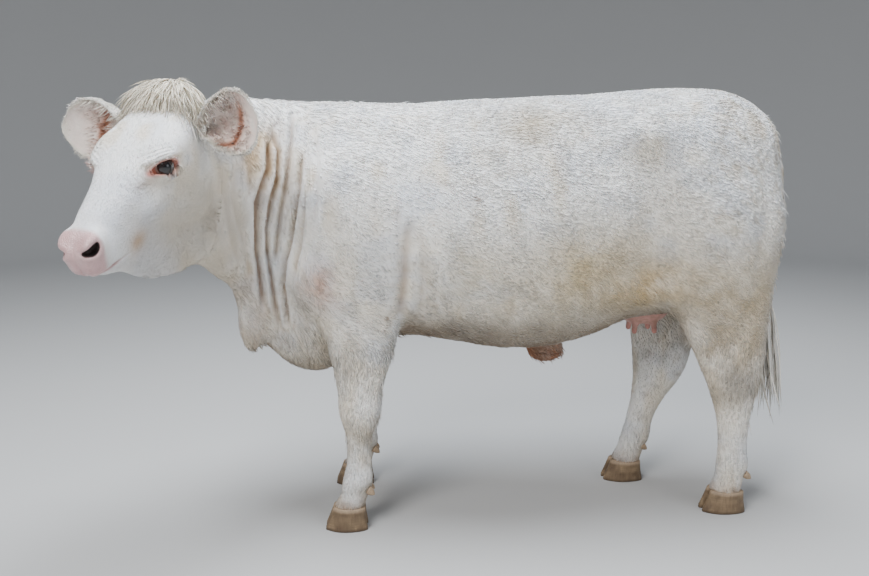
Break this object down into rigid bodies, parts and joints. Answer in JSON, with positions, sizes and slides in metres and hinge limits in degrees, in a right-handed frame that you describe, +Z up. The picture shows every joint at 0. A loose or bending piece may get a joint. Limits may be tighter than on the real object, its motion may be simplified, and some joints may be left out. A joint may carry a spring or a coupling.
{
  "type": "cattle figure",
  "caption": "Life-size standing beef heifer in a short cream-white coat, head turned to its left, tail hanging, for museum or scene display.",
  "frame": {"origin": "centre of the whole figure's bounding box, on the ground under the hooves", "axes": "-X towards the brisket and head, -Y towards the animal's left side and its face, +Z up"},
  "size_m": [2.1334, 0.9906, 1.3214],
  "materials": {
    "coat": "short matt cream-white hair",
    "tuft_hair": "soft cream hair in loose locks",
    "switch_hair": "long dusty hair in hanging locks",
    "udder_skin": "bare pink skin",
    "hoof": "dull horn",
    "eye": "wet dark globe"
  },
  "bodies": {
    "root": {"shoulders": "coat", "barrel": "coat", "hindquarters": "coat", "neck": "coat", "ear_left": "coat", "ear_right": "coat", "head": "coat", "eye_left": "eye", "eye_right": "eye", "leg_fore_left_upper": "coat", "leg_fore_left_lower": "coat", "leg_fore_right_upper": "coat", "leg_fore_right_lower": "coat", "leg_hind_left_upper": "coat", "leg_hind_left_lower": "coat", "leg_hind_right_upper": "coat", "leg_hind_right_lower": "coat", "hoof_fore_left_outer": "hoof", "hoof_fore_left_inner": "hoof", "hoof_fore_right_outer": "hoof", "hoof_fore_right_inner": "hoof", "hoof_hind_left_outer": "hoof", "hoof_hind_left_inner": "hoof", "hoof_hind_right_outer": "hoof", "hoof_hind_right_inner": "hoof", "tail": "coat", "udder": "udder_skin", "poll_tuft": "tuft_hair", "tail_switch": "switch_hair"}
  },
  "joints": []
}
